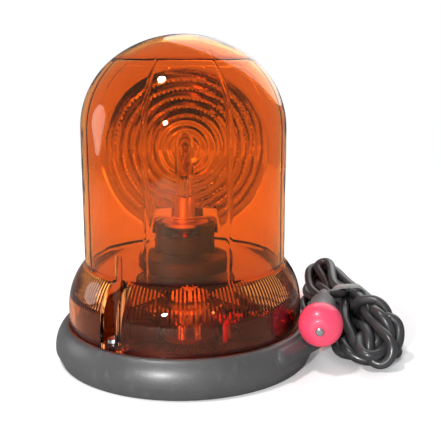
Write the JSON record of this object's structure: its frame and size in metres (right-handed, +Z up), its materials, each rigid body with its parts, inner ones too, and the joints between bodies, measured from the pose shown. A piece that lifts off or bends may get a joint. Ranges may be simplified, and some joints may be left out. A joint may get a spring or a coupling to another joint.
{
  "type": "rotating beacon",
  "caption": "Magnetic-base rotating beacon with an amber dome, a geared turning reflector round a fixed bulb, and a tied lead with a 12 V plug.",
  "frame": {"origin": "centre of the flat underside of the rubber base", "axes": "+Z up along the dome's axis; -Y is the front, where the reflector faces at rest; +X is the side of the lead"},
  "size_m": [0.1795, 0.159, 0.1565],
  "materials": {
    "rubber": "matt moulded rubber",
    "amber_lens": "clear amber acrylic, gloss",
    "black_plastic": "moulded, satin",
    "gear_plastic": "moulded, satin",
    "cream_plastic": "moulded",
    "zinc_steel": "zinc plated",
    "bright_steel": "plated, bright",
    "ferrite": "sintered, matt",
    "brass": "stamped, bright",
    "mirror_metal": "vacuum metallised",
    "clear_glass": "clear quartz",
    "filament_metal": "drawn wire",
    "wire_insulation": "extruded",
    "cord_jacket": "extruded, soft sheen",
    "tie_strip": "paper coated wire",
    "plug_grey": "moulded, satin",
    "plug_red": "moulded, gloss"
  },
  "bodies": {
    "base": {"base_plate": "black_plastic", "bulb_base": "zinc_steel", "bulb_clip": "zinc_steel", "bulb_filament": "filament_metal", "bulb_glass": "clear_glass", "cord_hank": "cord_jacket", "cord_inner": "cord_jacket", "cord_lead": "cord_jacket", "cord_tail": "cord_jacket", "cord_tie": "tie_strip", "dome_lens": "amber_lens", "lamp_holder": "black_plastic", "lamp_lead": "wire_insulation", "lamp_post": "zinc_steel", "lamp_ring": "brass", "lens_gasket": "rubber", "lens_screws": "bright_steel", "magnet_bolt": "bright_steel", "magnet_cup": "zinc_steel", "motor_can": "zinc_steel", "motor_end_bell": "black_plastic", "motor_leads": "wire_insulation", "motor_sleeve": "rubber", "plug_adapter": "plug_red", "plug_body": "plug_grey", "plug_fuse": "clear_glass", "plug_relief": "plug_grey", "plug_spring": "zinc_steel", "post_nut": "zinc_steel", "post_screws": "bright_steel", "retaining_ring": "zinc_steel", "ring_magnet": "ferrite", "rubber_boot": "rubber", "suppressor": "black_plastic", "terminal_block": "black_plastic", "terminal_screws": "brass", "thrust_washer": "cream_plastic"},
    "rotor": {"drive_gear": "gear_plastic", "rotor_table": "black_plastic", "table_screws": "bright_steel", "reflector_bracket": "zinc_steel", "bracket_screws": "bright_steel", "reflector_dish": "mirror_metal", "dish_rivets": "bright_steel"},
    "motor_rotor": {"motor_shaft": "bright_steel", "pinion": "cream_plastic"},
    "contact_pin": {"plug_tip": "bright_steel"},
    "left_contact": {"contact_left": "bright_steel"},
    "right_contact": {"contact_right": "bright_steel"}
  },
  "joints": [
    {"name": "reflector_spin", "type": "hinge", "parent": "base", "child": "rotor", "pos_m": [0, 0, 0.04], "axis": [0, 0, 1], "continuous": true},
    {"name": "motor_spin", "type": "hinge", "parent": "base", "child": "motor_rotor", "pos_m": [0.00351, -0.02778, 0.036], "axis": [0, 0, 1], "continuous": true},
    {"name": "pin_press", "type": "slide", "parent": "base", "child": "contact_pin", "axis": [0.1702, 0.9854, 0], "range_m": [0, 0.0025], "stiffness_N_per_m": 800, "springref_m": -0.001, "deforming": ["plug_spring"]},
    {"name": "left_contact_press", "type": "slide", "parent": "base", "child": "left_contact", "axis": [0.9854, -0.1702, 0], "range_m": [0, 0.0006], "stiffness_N_per_m": 1500, "springref_m": -0.0003},
    {"name": "right_contact_press", "type": "slide", "parent": "base", "child": "right_contact", "axis": [-0.9854, 0.1702, 0], "range_m": [0, 0.0006], "stiffness_N_per_m": 1500, "springref_m": -0.0003}
  ],
  "couplings": [
    {"joint": "motor_spin", "follows": "reflector_spin", "ratio": -7}
  ]
}
